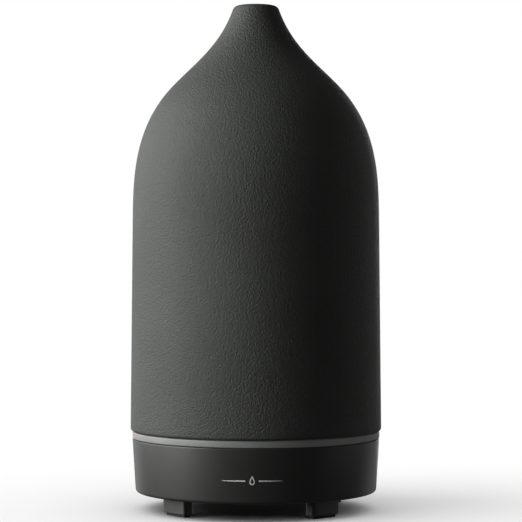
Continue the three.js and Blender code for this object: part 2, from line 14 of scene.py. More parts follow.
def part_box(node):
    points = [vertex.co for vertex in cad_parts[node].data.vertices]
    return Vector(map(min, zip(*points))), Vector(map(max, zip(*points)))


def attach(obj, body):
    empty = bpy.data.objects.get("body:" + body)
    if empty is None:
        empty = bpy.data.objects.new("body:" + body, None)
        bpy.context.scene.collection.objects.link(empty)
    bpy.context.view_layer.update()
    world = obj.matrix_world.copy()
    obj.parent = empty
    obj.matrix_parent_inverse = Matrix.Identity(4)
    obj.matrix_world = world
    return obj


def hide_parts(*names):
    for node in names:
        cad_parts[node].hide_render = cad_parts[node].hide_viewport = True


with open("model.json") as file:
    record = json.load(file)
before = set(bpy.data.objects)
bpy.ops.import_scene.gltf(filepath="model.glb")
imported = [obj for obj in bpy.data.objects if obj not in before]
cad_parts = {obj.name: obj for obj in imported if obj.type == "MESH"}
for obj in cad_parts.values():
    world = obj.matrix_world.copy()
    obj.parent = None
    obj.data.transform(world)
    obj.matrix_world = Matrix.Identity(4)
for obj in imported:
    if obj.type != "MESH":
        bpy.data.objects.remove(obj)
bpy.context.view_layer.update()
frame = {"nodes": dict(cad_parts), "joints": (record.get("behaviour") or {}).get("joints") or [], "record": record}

MM = 0.001
AROUND = 192  # sides of the large round pieces
REAR = 180  # azimuth of the power inlet
THIRDS = (0, 120, 240)  # azimuths of things that come in threes


# ------------------------------------------------------------------ outlines

def around(azimuth, radius, z=0.0):
    """The point at an azimuth, a radius and a height."""
    angle = math.radians(azimuth)
    return Vector((radius * math.sin(angle), -radius * math.cos(angle), z))


def rounded(points, radii, steps=5):
    """An outline whose corners are rounded: radii holds one radius for each point, 0 for a sharp one."""
    made = []
    for i, (corner, radius) in enumerate(zip(points, radii)):
        corner = Vector(corner)
        before = Vector(points[i - 1]) - corner
        after = Vector(points[(i + 1) % len(points)]) - corner
        half = before.angle(after) / 2
        if radius <= 0 or half > math.radians(89):
            made.append(tuple(corner))
            continue
        reach = min(radius / math.tan(half), before.length * 0.49, after.length * 0.49)
        radius = reach * math.tan(half)
        middle = (before.normalized() + after.normalized()).normalized()
        centre = corner + middle * (radius / math.sin(half))
        start = corner + before.normalized() * reach - centre
        end = corner + after.normalized() * reach - centre
        for step in range(steps + 1):
            arm = start.slerp(end, step / steps).normalized()
            made.append(tuple(centre + arm * radius))
    return made


def bezier(p0, p1, p2, p3, steps):
    """Points along a cubic curve, without its first one."""
    made = []
    for i in range(1, steps + 1):
        t = i / steps
        u = 1 - t
        weights = (u ** 3, 3 * u * u * t, 3 * u * t * t, t ** 3)
        point = sum((Vector(p) * w for p, w in zip((p0, p1, p2, p3), weights)), Vector((0, 0)))
        made.append(tuple(point))
    return made


def rectangle(x, y, corner, centre=(0, 0)):
    """A rectangle of half widths x and y with rounded corners."""
    points = [(centre[0] + sx * x, centre[1] + sy * y) for sx, sy in ((1, -1), (1, 1), (-1, 1), (-1, -1))]
    return rounded(points, [corner] * 4)


def arc_band(inner, outer, half_span, steps=16):
    """An arc-shaped outline, centred on the front."""
    turns = [(2 * step / steps - 1) * half_span for step in range(steps + 1)]
    outside = [tuple(around(turn, outer).xy) for turn in turns]
    inside = [tuple(around(turn, inner).xy) for turn in reversed(turns)]
    return outside + inside


# ------------------------------------------------------------------ mesh helpers

def revolve(bm, outline, sides=AROUND):
    """Turns a closed outline of (radius, height) points about the Z axis."""
    on_axis = {i: bm.verts.new((0, 0, z)) for i, (r, z) in enumerate(outline) if r < 1e-6}
    rings = []
    for step in range(sides):
        angle = 2 * math.pi * step / sides
        x, y = math.cos(angle), math.sin(angle)
        rings.append([on_axis[i] if i in on_axis else bm.verts.new((r * x, r * y, z))
                      for i, (r, z) in enumerate(outline)])
    for step in range(sides):
        here, after = rings[step], rings[(step + 1) % sides]
        for i in range(len(outline)):
            j = (i + 1) % len(outline)
            corners = list(dict.fromkeys((here[i], after[i], after[j], here[j])))
            if len(corners) > 2:
                bm.faces.new(corners)
    return bm


def tube(bm, outer, inner, low, high):
    """A straight tube between two outlines with the same number of points."""
    loops = [[bm.verts.new((x, y, z)) for x, y in outline]
             for outline, z in ((outer, low), (outer, high), (inner, high), (inner, low))]
    for one, other in zip(loops, loops[1:] + loops[:1]):
        for i in range(len(one)):
            j = (i + 1) % len(one)
            bm.faces.new((one[i], one[j], other[j], other[i]))
    return bm


def prism(bm, outline, low, high):
    """Raises a flat outline of (x, y) points from one height to another."""
    bottom = [bm.verts.new((x, y, low)) for x, y in outline]
    top = [bm.verts.new((x, y, high)) for x, y in outline]
    bm.faces.new(bottom[::-1])
    bm.faces.new(top)
    for i in range(len(outline)):
        j = (i + 1) % len(outline)
        bm.faces.new((bottom[i], bottom[j], top[j], top[i]))
    return bm


def rod(bm, radius, low, high, centre=(0, 0), sides=48, edge=0.0):
    """A round rod whose ends may have rounded edges."""
    outline = [(0, low), (radius, low), (radius, high), (0, high)]
    made = revolve(bmesh.new(), rounded(outline, [0, edge, edge, 0]), sides)
    return join(bm, made, Matrix.Translation((*centre, 0)))


def join(bm, other, matrix=Matrix.Identity(4)):
    """Adds another bmesh, moved by a matrix, and frees it."""
    other.transform(matrix)
    mesh = bpy.data.meshes.new("joined")
    other.to_mesh(mesh)
    other.free()
    bm.from_mesh(mesh)
    bpy.data.meshes.remove(mesh)
    return bm


def pointing_out(azimuth, height):
    """Turns a shape made along +Z so that it points outwards at an azimuth and a height."""
    turn = Matrix.Rotation(math.radians(azimuth), 4, "Z") @ Matrix.Rotation(math.pi / 2, 4, "X")
    return Matrix.Translation((0, 0, height)) @ turn


def carve(bm, *cutters):
    """Cuts closed shapes out of a closed shape and returns what is left."""
    blank = hidden_object(bm)
    for cutter in cutters:
        tool = hidden_object(cutter)
        step = blank.modifiers.new("cut", "BOOLEAN")
        step.operation = "DIFFERENCE"
        step.solver = "EXACT"
        step.object = tool
        carved = bpy.data.meshes.new_from_object(blank.evaluated_get(bpy.context.evaluated_depsgraph_get()))
        blank.modifiers.clear()
        blank.data = carved
        bpy.data.objects.remove(tool)
    left = bmesh.new()
    left.from_mesh(blank.data)
    bpy.data.objects.remove(blank)
    bmesh.ops.remove_doubles(left, verts=left.verts, dist=1e-3)
    return left


def hidden_object(bm):
    """A short-lived object that holds a bmesh while it is cut."""
    bmesh.ops.recalc_face_normals(bm, faces=bm.faces)
    mesh = bpy.data.meshes.new("blank")
    bm.to_mesh(mesh)
    bm.free()
    made = bpy.data.objects.new("blank", mesh)
    bpy.context.scene.collection.objects.link(made)
    return made


def new_piece(name, bm, slot, body, stands_for=(), crease=35, soften=0.0):
    """Makes a named piece that rides on a body, takes a slot's finish and stands for CAD nodes.

    Edges sharper than the crease angle stay sharp in the shading. A soften width rounds them off instead.
    """
    bmesh.ops.recalc_face_normals(bm, faces=bm.faces)
    bm.transform(Matrix.Scale(MM, 4))
    mesh = bpy.data.meshes.new(name)
    bm.to_mesh(mesh)
    bm.free()
    mesh.shade_smooth()
    mesh.set_sharp_from_angle(angle=math.radians(crease))
    mesh.materials.append(MATERIALS[slot])
    piece = bpy.data.objects.new(name, mesh)
    bpy.context.scene.collection.objects.link(piece)
    if soften:
        round_edges(piece, soften, crease)
    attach(piece, body)
    if stands_for:
        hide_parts(*stands_for)
    return piece


def round_edges(piece, width, crease=35):
    """Rounds a piece's edges that are sharper than the crease angle."""
    bevel = piece.modifiers.new("soft edges", "BEVEL")
    bevel.width = width * MM
    bevel.segments = 3
    bevel.limit_method = "ANGLE"
    bevel.angle_limit = math.radians(crease)
    bevel.harden_normals = True


# ------------------------------------------------------------------ material helpers

class Surface:
    """A node material with the few moves that every finish here is made from."""

    def __init__(self, name, color, roughness, **settings):
        self.material = bpy.data.materials.new(name)
        self.material.use_nodes = True
        self.nodes = self.material.node_tree.nodes
        self.links = self.material.node_tree.links
        self.shader = self.nodes["Principled BSDF"]
        self.shader.inputs["Base Color"].default_value = (*color, 1)
        self.shader.inputs["Roughness"].default_value = roughness
        for key, value in settings.items():
            self.shader.inputs[key.replace("_", " ")].default_value = value
        self.coordinates = self.nodes.new("ShaderNodeTexCoord").outputs["Object"]

    def noise(self, scale, detail=3.0, rough=0.5, stretch=None):
        """A cloudy pattern with that many clouds to the metre, drawn out along an axis by a stretch."""
        node = self.nodes.new("ShaderNodeTexNoise")
        node.inputs["Scale"].default_value = scale
        node.inputs["Detail"].default_value = detail
        node.inputs["Roughness"].default_value = rough
        coordinates = self.coordinates
        if stretch:
            mapping = self.nodes.new("ShaderNodeMapping")
            mapping.inputs["Scale"].default_value = stretch
            self.links.new(coordinates, mapping.inputs["Vector"])
            coordinates = mapping.outputs["Vector"]
        self.links.new(coordinates, node.inputs["Vector"])
        return node.outputs["Fac"]

    def cells(self, scale):
        """The distance to the nearest of many scattered points."""
        node = self.nodes.new("ShaderNodeTexVoronoi")
        node.feature = "SMOOTH_F1"
        node.inputs["Scale"].default_value = scale
        self.links.new(self.coordinates, node.inputs["Vector"])
        return node.outputs["Distance"]

    def spread(self, value, low, high, to_low=0.0, to_high=1.0):
        """Maps a value between two limits to a new range."""
        node = self.nodes.new("ShaderNodeMapRange")
        node.inputs["From Min"].default_value = low
        node.inputs["From Max"].default_value = high
        node.inputs["To Min"].default_value = to_low
        node.inputs["To Max"].default_value = to_high
        self.links.new(value, node.inputs["Value"])
        return node.outputs["Result"]

    def maths(self, operation, first, second):
        node = self.nodes.new("ShaderNodeMath")
        node.operation = operation
        for socket, value in zip(node.inputs, (first, second)):
            if isinstance(value, (int, float)):
                socket.default_value = value
            else:
                self.links.new(value, socket)
        return node.outputs["Value"]

    def mixed(self, factor, low, high):
        """A colour between two colours or colour outputs."""
        node = self.nodes.new("ShaderNodeMix")
        node.data_type = "RGBA"
        for key, value in (("A", low), ("B", high)):
            if isinstance(value, tuple):
                node.inputs[key].default_value = (*value, 1)
            else:
                self.links.new(value, node.inputs[key])
        self.links.new(factor, node.inputs["Factor"])
        return node.outputs["Result"]

    def paint(self, color):
        self.links.new(color, self.shader.inputs["Base Color"])

    def gloss(self, factor, low, high):
        """Lets the roughness vary with a pattern."""
        self.links.new(self.spread(factor, 0.3, 0.7, low, high), self.shader.inputs["Roughness"])

    def bump(self, height, depth, strength=1.0):
        """Raises the surface by a height from 0 to 1 times a depth in metres, on top of any bump before."""
        node = self.nodes.new("ShaderNodeBump")
        node.inputs["Strength"].default_value = strength
        node.inputs["Distance"].default_value = depth
        self.links.new(height, node.inputs["Height"])
        normal = self.shader.inputs["Normal"]
        if normal.is_linked:
            self.links.new(normal.links[0].from_socket, node.inputs["Normal"])
        self.links.new(node.outputs["Normal"], normal)

    def painted_edge_highlight_mask(self, radius):
        """A factor that is high along the edges of the shape, where a lighter colour is painted on as a highlight.
        """
        bevel = self.nodes.new("ShaderNodeBevel")
        bevel.inputs["Radius"].default_value = radius
        geometry = self.nodes.new("ShaderNodeNewGeometry")
        dot = self.nodes.new("ShaderNodeVectorMath")
        dot.operation = "DOT_PRODUCT"
        self.links.new(bevel.outputs["Normal"], dot.inputs[0])
        self.links.new(geometry.outputs["Normal"], dot.inputs[1])
        return self.spread(dot.outputs["Value"], 1.0, 0.75)


def shade(color, amount):
    """A colour made lighter or darker by a factor."""
    return tuple(channel * amount for channel in color)


# ------------------------------------------------------------------ materials

def make_ceramic():
    """Unglazed, stained stoneware: a soft leathery grain with fine sand in it."""
    color = (0.049, 0.0535, 0.0465)
    s = Surface("stone_ceramic", color, 0.62)
    lumps = s.noise(2100, 3, 0.55)
    sand = s.noise(3200, 3, 0.6)
    cloud = s.noise(26, 4)
    pits = s.spread(s.cells(1300), 0.0, 0.5)
    mottle = s.maths("ADD", s.maths("MULTIPLY", lumps, 0.55), s.maths("MULTIPLY", cloud, 0.45))
    base = s.mixed(s.spread(mottle, 0.38, 0.62), shade(color, 0.84), shade(color, 1.16))
    # painted highlight: the edges are painted lighter, standing in for the sheen that light gives rounded edges
    edge_highlight = s.maths("MULTIPLY", s.painted_edge_highlight_mask(0.5 * MM), 0.35)
    s.paint(s.mixed(edge_highlight, base, shade(color, 1.9)))
    s.gloss(sand, 0.54, 0.72)
    s.bump(lumps, 0.38 * MM, 1.0)
    s.bump(sand, 0.05 * MM, 0.6)
    s.bump(pits, 0.12 * MM, 0.8)
    return s.material


def make_base_plastic():
    """Moulded plastic with a fine spark-eroded texture."""
    color = (0.023, 0.0252, 0.0219)
    s = Surface("base_plastic", color, 0.5, Coat_Weight=0.3, Coat_Roughness=0.35)
    spark = s.noise(3600, 2)
    cloud = s.noise(45, 4)
    base = s.mixed(s.spread(cloud, 0.35, 0.65), shade(color, 0.9), shade(color, 1.12))
    # painted highlight: the edges are painted lighter, standing in for the sheen along the plastic's rounded edges
    edge_highlight = s.maths("MULTIPLY", s.painted_edge_highlight_mask(0.3 * MM), 0.3)
    s.paint(s.mixed(edge_highlight, base, shade(color, 1.8)))
    s.gloss(spark, 0.44, 0.56)
    s.bump(spark, 0.05 * MM, 0.6)
    s.bump(cloud, 0.05 * MM, 0.3)
    return s.material


def make_frosted_with_painted_glow():
    """Translucent grey plastic, with a faint painted glow all round: an emission that stands in for light
    scattered along inside it.
    """
    color = (0.235, 0.241, 0.235)
    s = Surface("frosted_ring", color, 0.6, Subsurface_Weight=0.5, Subsurface_Scale=0.004)
    # painted glow: a faint emission that stands in for light carried round inside the ring, though the ring is not
    # lit
    s.shader.inputs["Emission Color"].default_value = (*shade(color, 3), 1)
    s.shader.inputs["Emission Strength"].default_value = 0.022
    cloud = s.noise(70, 3)
    s.paint(s.mixed(s.spread(cloud, 0.3, 0.7), shade(color, 0.92), shade(color, 1.08)))
    s.gloss(s.noise(900, 2), 0.48, 0.62)
    s.bump(s.noise(2400, 2), 0.02 * MM, 0.4)
    return s.material


def make_rubber():
    """Dull black rubber."""
    color = (0.013, 0.013, 0.013)
    s = Surface("rubber", color, 0.78)
    s.paint(s.mixed(s.noise(300, 4), shade(color, 0.7), shade(color, 1.5)))
    s.gloss(s.noise(900, 3), 0.7, 0.88)
    s.bump(s.noise(1800, 3), 0.06 * MM, 0.5)
    return s.material


def make_finish(name, color, roughness, metallic=0.0, grain=700, depth=0.03 * MM, stretch=None):
    """A plain moulded, machined or printed finish: clouded colour, edges painted lighter as a highlight, and a
    grain in its gloss and surface.
    """
    s = Surface(name, color, roughness, Metallic=metallic)
    texture = s.noise(grain, 3, 0.5, stretch)
    base = s.mixed(s.noise(80, 3), shade(color, 0.86), shade(color, 1.14))
    # painted highlight: the edges are painted lighter, standing in for the sheen along rounded edges
    edge_highlight = s.maths("MULTIPLY", s.painted_edge_highlight_mask(0.2 * MM), 0.4)
    s.paint(s.mixed(edge_highlight, base, tuple(min(1.0, channel) for channel in shade(color, 1.5))))
    s.gloss(texture, roughness * 0.85, min(1.0, roughness * 1.2))
    s.bump(texture, depth, 0.4)
    return s.material


def make_circuit_board():
    """Green solder mask with the faint relief of the tracks under it."""
    color = (0.015, 0.105, 0.045)
    s = Surface("circuit_board", color, 0.3)
    tracks = s.spread(s.noise(1500, 0, 0.5, (1, 0.07, 1)), 0.46, 0.54)
    s.paint(s.mixed(tracks, shade(color, 0.75), shade(color, 1.25)))
    s.gloss(s.noise(900, 2), 0.24, 0.38)
    s.bump(tracks, 0.03 * MM, 0.5)
    return s.material


BRUSHED_UPWARDS = (1, 1, 0.1)
BRUSHED_ACROSS = (0.1, 1, 1)

MATERIALS = {
    "stone_ceramic": make_ceramic(),
    "base_plastic": make_base_plastic(),
    "frosted_ring": make_frosted_with_painted_glow(),
    "rubber": make_rubber(),
    "circuit_board": make_circuit_board(),
    "inner_plastic": make_finish("inner_plastic", (0.034, 0.034, 0.035), 0.34),
    "silicone": make_finish("silicone", (0.62, 0.62, 0.59), 0.55),
    "steel": make_finish("steel", (0.5, 0.5, 0.51), 0.3, 1.0, 1500, 0.01 * MM, BRUSHED_UPWARDS),
    "aluminium": make_finish("aluminium", (0.62, 0.63, 0.65), 0.36, 1.0, 1500, 0.01 * MM, BRUSHED_ACROSS),
    "brass": make_finish("brass", (0.62, 0.48, 0.24), 0.3, 1.0, 1500, 0.01 * MM, BRUSHED_ACROSS),
    "component": make_finish("component", (0.018, 0.018, 0.02), 0.45),
    "connector": make_finish("connector", (0.68, 0.64, 0.54), 0.45),
    "led": make_finish("led", (0.8, 0.74, 0.42), 0.25),
    "lead": make_finish("lead", (0.33, 0.025, 0.02), 0.45),
}
PRINT = make_finish("front_print", (0.8, 0.8, 0.78), 0.5, 0.0, 2500, 0.01 * MM)
COPPER = make_finish("copper_winding", (0.62, 0.27, 0.13), 0.32, 1.0, 1500, 0.02 * MM, (0.2, 0.2, 3))


# ------------------------------------------------------------------ sizes, in millimetres

def box(node):
    """(lowest corner, highest corner) of a CAD node."""
    return tuple(Vector(corner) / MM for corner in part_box(node))


def centre_of(node):
    """The middle of a CAD node's box."""
    low, high = box(node)
    return (low + high) / 2


def azimuth_of(direction):
    """The azimuth of a point or a direction, in degrees."""
    return math.degrees(math.atan2(direction[0], -direction[1]))


cover_low, cover_high = box("ceramic_cover")
ring_low, ring_high = box("light_ring")
shell_low, shell_high = box("base_shell")
plate_low, plate_high = box("bottom_cover")
foot_low = box("foot_front_left")[0]
jack_low, jack_high = box("dc_jack")
mounts = {mount["name"]: Vector(mount["pos_m"]) / MM for mount in frame["record"]["mounts"]}
push_axes = {joint["child"]: Vector(joint["axis"]) for joint in frame["joints"]}

GAP = 0.2  # between pieces that touch
CLEARANCE = 0.3  # between pieces that slide or drop into each other
COVER_WALL = 4.2
OUTLET = 4.5  # radius of the hole that the mist leaves by
SHELL_TAPER = 1.2  # how much narrower the base is at its bottom
SHELL_WALL = 2.2
RING_INNER = 38.9  # radius
RING_REBATE = 41.2  # radius up to which the tank's flange is let into the ring
REBATE_DEPTH = 1.05
COLUMN_RADIUS = -centre_of("base_screw_1").y  # where the long screws run
COLUMN_TOP = plate_low.z + 12.3
FOOT_PLACES = ("front_left", "front_right", "rear_right", "rear_left")
FOOT_MIDDLES = {place: mounts[f"foot_pad_{place}_face"] for place in FOOT_PLACES}
FOOT_RADIUS = FOOT_MIDDLES["front_left"].length
FOOT_THICKNESS = 4.5
FOOT_SPAN = 10.2  # half of it, in degrees
PAD_INSET = 0.9
PAD_DEPTH = 0.9  # how far a pad is set up into its foot
CONTROL_Z = centre_of("mist_button").z  # height of the rear buttons and the power inlet
BUTTON_AZIMUTHS = {name: azimuth_of(-push_axes[f"{name}_key"]) for name in ("mist", "light")}
BUTTON_FLANGE = 0.9
BUTTON_RADIUS = box("mist_button")[1].z - CONTROL_Z - BUTTON_FLANGE
JACK_RADIUS = 4.0
TANK_INNER = 33.0  # radius
TANK_WALL = 2.2
TANK_FLOOR = 27.6
MIST_HOLE = 7.8  # radius of the hole in the tank's floor, over the disc
TANK_RIM = box("water_tank")[1].z
DUCT = (6.5, 4.5)  # half widths of the air duct
DUCT_Y = 22.0
CAPACITY = 90000  # cubic millimetres of water up to the fill line
FILL_LINE = TANK_FLOOR + CAPACITY / (math.pi * TANK_INNER ** 2 - 4 * DUCT[0] * DUCT[1])
FAN_Y = centre_of("fan_frame").y


# ------------------------------------------------------------------ cover, ring and base

def cover_outline():
    """Up the cover's outer side, over the lip into the outlet, and down the inside at a wall's distance."""
    radius, bottom, top = cover_high.x, cover_low.z, cover_high.z
    lip_lean, bend_lean, shoulder_lean = 19.85, 44, 0.55  # of the side from upright, in degrees
    edge, lip_radius, mouth = 1.0, 2.2, 0.6
    shoulder = Vector((radius - 0.74, 104.2))
    bend = Vector((29.5, 151.1))
    below_bend, above_bend = (15.6, 19.7), (11.3, 13.7)  # lengths of the curves' handles
    tilt = math.radians(lip_lean)
    lip = Vector((8.31, top - lip_radius * (1 - math.sin(tilt))))
    lip_centre = lip - lip_radius * Vector((math.cos(tilt), math.sin(tilt)))

    def leaning(degrees, length):
        return length * Vector((-math.sin(math.radians(degrees)), math.cos(math.radians(degrees))))

    def arc(centre, size, start, end, steps=8):
        angles = [math.radians(start + (end - start) * i / steps) for i in range(steps + 1)]
        return [(centre[0] + size * math.cos(a), centre[1] + size * math.sin(a)) for a in angles]

    foot = Vector((radius, bottom + edge))
    side = [tuple(foot)]
    side += bezier(foot, foot.lerp(shoulder, 1 / 3), foot.lerp(shoulder, 2 / 3), shoulder, 24)
    side += bezier(shoulder, shoulder + leaning(shoulder_lean, below_bend[0]),
                   bend - leaning(bend_lean, below_bend[1]), bend, 36)
    side += bezier(bend, bend + leaning(bend_lean, above_bend[0]),
                   lip - leaning(lip_lean, above_bend[1]), lip, 24)
    inside = []
    for before, here, after in zip(side, side[1:], side[2:]):
        along = (Vector(after) - Vector(before)).normalized()
        point = Vector(here) + COVER_WALL * Vector((-along.y, along.x))
        if point.x > OUTLET:
            inside.append(tuple(point))
    inside.append((OUTLET, inside[-1][1] + 1))
    lower_edge = arc((radius - edge, bottom + edge), edge, -90, 0)
    over_lip = arc(lip_centre, lip_radius, lip_lean, 90)
    into_outlet = arc((OUTLET + mouth, top - mouth), mouth, 90, 180)
    inside_foot = [(inside[0][0], bottom + 0.5), (inside[0][0] + 0.5, bottom)]
    return lower_edge[:-1] + side[:-1] + over_lip + into_outlet + inside[::-1] + inside_foot


def build_cover():
    """The ceramic cover, turned from one outline that runs over the lip and back down the inside."""
    cover = revolve(bmesh.new(), cover_outline())
    new_piece("stone_cover", cover, "stone_ceramic", "cover", ["ceramic_cover"])


def build_light_ring():
    """A ring with a spigot that drops into the base, and a rebate on top for the tank's flange."""
    radius, top, low = ring_high.x, ring_high.z, ring_low.z
    rebate_floor = top - REBATE_DEPTH
    spigot, bottom = radius - SHELL_WALL - 0.45, top - 2.3
    points = [(RING_INNER, low), (spigot, low), (spigot, bottom), (radius, bottom), (radius, top),
              (RING_REBATE, top), (RING_REBATE, rebate_floor), (RING_INNER, rebate_floor)]
    outline = rounded(points, [0.2, 0.2, 0.1, 0.3, 0.3, 0.2, 0.1, 0.2])
    new_piece("glow_ring", revolve(bmesh.new(), outline), "frosted_ring", "base", ["light_ring"])


def shell_radius(z):
    """The base's outer radius at a height."""
    share = (z - shell_low.z) / (shell_high.z - shell_low.z)
    return shell_high.x - SHELL_TAPER * (1 - share)


def window(azimuth, radius):
    """A cutter for a round opening with a chamfer in the base's wall."""
    face = shell_radius(CONTROL_Z)
    start, end = face - 6, face + 3
    chamfer_start, chamfer_end, wide = face - 0.5, face + 0.2, radius + 0.7
    outline = [(0, start), (radius, start), (radius, chamfer_start), (wide, chamfer_end),
               (wide, end), (0, end)]
    bm = revolve(bmesh.new(), outline, 64)
    bm.transform(pointing_out(azimuth, CONTROL_Z))
    return bm


def build_base_shell():
    """The tapered wall of the base, with its rear openings, and the screw columns inside it."""
    bottom, top = shell_low.z, shell_high.z
    points = [(shell_radius(bottom) - SHELL_WALL, bottom), (shell_radius(bottom), bottom),
              (shell_radius(top), top), (shell_radius(top) - SHELL_WALL, top)]
    wall = revolve(bmesh.new(), rounded(points, [0.3, 1.3, 0.35, 0.3], 8))
    button_windows = [window(azimuth, BUTTON_RADIUS + CLEARANCE) for azimuth in BUTTON_AZIMUTHS.values()]
    shell = carve(wall, window(REAR, JACK_RADIUS + CLEARANCE), *button_windows)
    column_bottom = plate_low.z + 3.3
    bore, column_radius, edge = 1.7, 3.2, 0.2
    column = [(bore, column_bottom), (column_radius, column_bottom),
              (column_radius, COLUMN_TOP), (bore, COLUMN_TOP)]
    web_half_width = 1.25
    web_end = shell_radius(bottom) - SHELL_WALL + 0.5
    web_half_length = (web_end - COLUMN_RADIUS - 2) / 2
    web_outline = rectangle(web_half_width, web_half_length, edge, (0, web_half_length - web_end))
    for azimuth in THIRDS:
        place = Matrix.Translation(around(azimuth, COLUMN_RADIUS))
        join(shell, revolve(bmesh.new(), rounded(column, [edge] * 4), 48), place)
        web = prism(bmesh.new(), web_outline, column_bottom, COLUMN_TOP)
        join(shell, web, Matrix.Rotation(math.radians(azimuth), 4, "Z"))
    new_piece("base_wall", shell, "base_plastic", "base", ["base_shell"], crease=40)


# ------------------------------------------------------------------ ornament on the front of the base

PRINT_LIFT = 0.05  # the print stands this far out of the wall, and reaches as far into it


def on_shell(across, z, lift):
    """A point on the front of the base, at a distance across from its middle line."""
    return around(math.degrees(across / shell_radius(z)), shell_radius(z) + lift, z)


def stroke(bm, one_side, other_side, closed):
    """A thin printed stroke between two rows of (across, z) points."""
    corners = ((one_side, 1), (other_side, 1), (other_side, -1), (one_side, -1))
    rows = [[bm.verts.new(on_shell(across, z, face * PRINT_LIFT)) for across, z in side]
            for side, face in corners]
    for row, next_row in zip(rows, rows[1:] + rows[:1]):
        for i in range(len(row) if closed else len(row) - 1):
            j = (i + 1) % len(row)
            bm.faces.new((row[i], row[j], next_row[j], next_row[i]))
    if not closed:
        bm.faces.new([row[0] for row in rows])
        bm.faces.new([row[-1] for row in rows][::-1])


def drop(width, height, middle, steps=40):
    """The outline of a drop that points up."""
    points = []
    for step in range(steps):
        t = 2 * math.pi * (step + 0.5) / steps
        points.append((width * math.sin(t) * math.sin(t / 2) ** 1.4, middle + height * math.cos(t)))
    return points


def build_ornament():
    """A drop between two tapering rules, printed on the front of the base."""
    middle, near, reach = 14.8, 2.3, 10.4  # its height, and where a rule starts and ends
    thickness, blunt_end = 0.42, 0.03
    rule_z = middle - 0.25
    bm = bmesh.new()
    stroke(bm, drop(1.3, 1.6, middle), drop(0.72, 1.0, middle - 0.18), closed=True)
    steps = 16
    for side in (-1, 1):
        upper, lower = [], []
        for step in range(steps + 1):
            share = step / steps
            across = side * (near + (reach - near) * share)
            half = thickness / 2 * (1 - share) ** 0.5 + blunt_end
            upper.append((across, rule_z + half))
            lower.append((across, rule_z - half))
        stroke(bm, upper, lower, closed=False)
    piece = new_piece("front_ornament", bm, "frosted_ring", "base")
    piece.data.materials[0] = PRINT


# ------------------------------------------------------------------ under side

def circle(radius, centre=(0, 0), sides=64):
    """The outline of a circle."""
    angles = [2 * math.pi * i / sides for i in range(sides)]
    return [(centre[0] + radius * math.cos(a), centre[1] + radius * math.sin(a)) for a in angles]


def build_bottom_cover():
    """The plate under the base: air slots below the fan, screw bosses and posts for the control board."""
    low, top = plate_low.z, plate_low.z + 1.8
    root = top - 0.3  # where bosses and posts start, inside the plate
    slots, slot_pitch, slot_half_width, grille_radius = 3, 3.1, 0.9, 10.4
    cutters = bmesh.new()
    for step in range(-slots, slots + 1):
        x = step * slot_pitch
        half = math.sqrt(grille_radius ** 2 - x ** 2)
        prism(cutters, rectangle(slot_half_width, half, slot_half_width - 0.02, (x, FAN_Y)), low - 1, top + 1)
    hole, counterbore, counterbore_top = 1.6, 2.9, low + 1.4
    boss_radius, boss_top = 4.0, low + 3
    screw_hole = [(0, low - 1), (counterbore, low - 1), (counterbore, counterbore_top),
                  (hole, counterbore_top), (hole, top + 1), (0, top + 1)]
    boss = [(hole, root), (boss_radius, root), (boss_radius, boss_top), (hole, boss_top)]
    places = [Matrix.Translation(around(azimuth, COLUMN_RADIUS)) for azimuth in THIRDS]
    for place in places:
        join(cutters, revolve(bmesh.new(), screw_hole, 48), place)
    plate = carve(prism(bmesh.new(), circle(plate_high.x, sides=AROUND), low, top), cutters)
    for place in places:
        join(plate, revolve(bmesh.new(), boss, 48), place)
    post_radius, post_top = 2.6, low + 3.4
    for number in (1, 2):
        rod(plate, post_radius, root, post_top, centre_of(f"board_screw_{number}").xy)
    new_piece("bottom_plate", plate, "base_plastic", "base", ["bottom_cover"], soften=0.25)


def foot_band(inset, corner):
    """The outline of a foot, or of what lies within it by an inset, with rounded corners."""
    half_thickness = FOOT_THICKNESS / 2 - inset
    half_span = FOOT_SPAN - math.degrees(inset / FOOT_RADIUS)
    steps = 6
    band = arc_band(FOOT_RADIUS - half_thickness, FOOT_RADIUS + half_thickness, half_span, steps)
    ends = (0, steps, steps + 1, 2 * steps + 1)
    return rounded(band, [corner if i in ends else 0 for i in range(len(band))])


def build_feet():
    """Short arc blocks, staked to the bottom cover by pegs, with rubber pads set into them."""
    low, top = foot_low.z, plate_low.z - GAP
    recess_top = low + PAD_DEPTH
    peg, peg_head = 1.8, 3
    head_bottom, head_top = top + 2.2, top + 3.2
    peg_outline = [(0, top - 1), (peg, top - 1), (peg, head_bottom), (peg_head, head_bottom),
                   (peg_head - 0.8, head_top), (0, head_top)]
    for place in FOOT_PLACES:
        turn = Matrix.Rotation(math.radians(azimuth_of(FOOT_MIDDLES[place])), 4, "Z")
        recess = prism(bmesh.new(), foot_band(PAD_INSET - GAP, 0.6), low - 1, recess_top)
        foot = carve(prism(bmesh.new(), foot_band(0, 1.1), low, top), recess)
        join(foot, revolve(bmesh.new(), peg_outline, 32), Matrix.Translation((0, -FOOT_RADIUS, 0)))
        foot.transform(turn)
        new_piece(f"block_foot_{place}", foot, "base_plastic", "base", [f"foot_{place}"], soften=0.45)
        pad = prism(bmesh.new(), foot_band(PAD_INSET, 0.5), 0, recess_top - GAP)
        pad.transform(turn)
        new_piece(f"rubber_pad_{place}", pad, "rubber", "base", [f"foot_pad_{place}"], soften=0.35)


def cross(reach, half_width):
    """The outline of a plus sign."""
    arm = [(reach, -half_width), (reach, half_width), (half_width, half_width)]
    turns = [Matrix.Rotation(math.pi / 2 * quarter, 2) for quarter in range(4)]
    return [tuple(turn @ Vector(point)) for turn in turns for point in arm]


